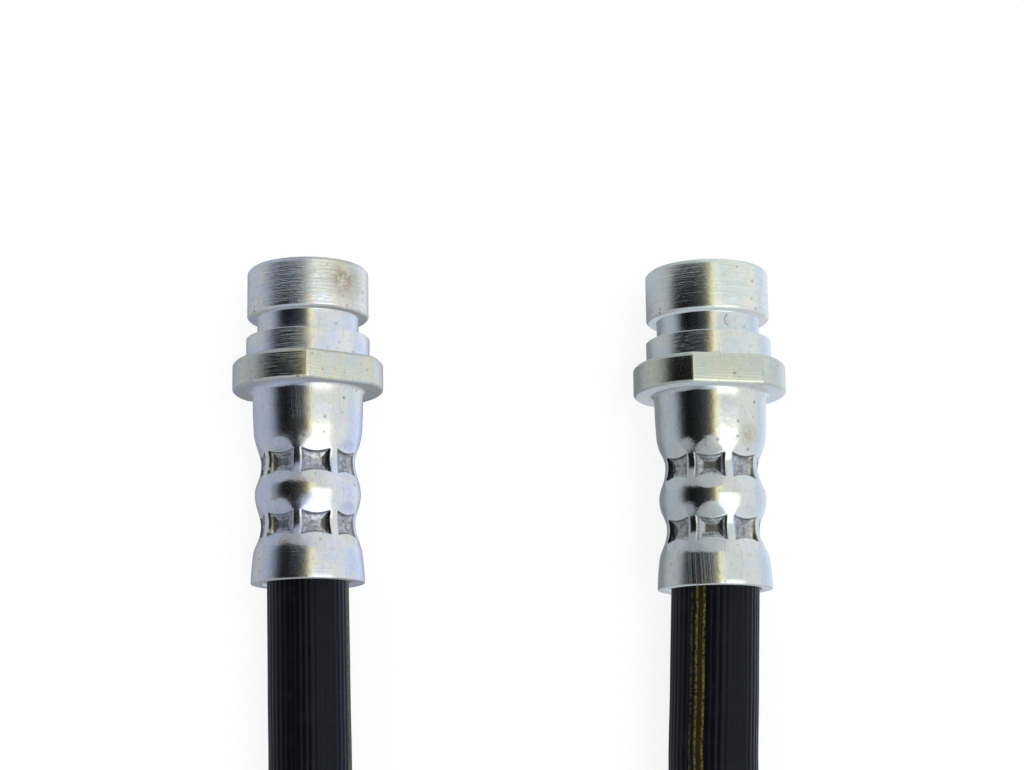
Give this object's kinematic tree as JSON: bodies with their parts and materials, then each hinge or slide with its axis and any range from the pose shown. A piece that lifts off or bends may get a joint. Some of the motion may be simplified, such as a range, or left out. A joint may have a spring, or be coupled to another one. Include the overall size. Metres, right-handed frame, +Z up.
{
  "type": "brake hose",
  "caption": "Flexible brake hose with crimped female steel fittings, clip grooves and flatted flanges, lying in a flat loop.",
  "frame": {"origin": "on the floor, under the middle of the box around the two end fittings", "axes": "+Y along both fittings towards their free ends, +X from the left fitting to the right one, +Z up from the floor"},
  "size_m": [0.0992, 0.1758, 0.0185],
  "materials": {
    "zinc_steel": "turned, bright zinc plated, faint yellow and blue tint",
    "insert_steel": "turned, zinc plated",
    "cover_rubber": "black, fine lengthwise ribs, yellow double stripe",
    "liner_rubber": "smooth black",
    "tie_rubber": "matte black",
    "braid_fibre": "off-white braided yarn"
  },
  "bodies": {
    "root": {"left_fitting_body": "zinc_steel", "right_fitting_body": "zinc_steel", "left_nipple_insert": "insert_steel", "right_nipple_insert": "insert_steel", "hose_liner": "liner_rubber", "hose_inner_braid": "braid_fibre", "hose_tie_layer": "tie_rubber", "hose_outer_braid": "braid_fibre", "hose_cover": "cover_rubber"}
  },
  "joints": []
}
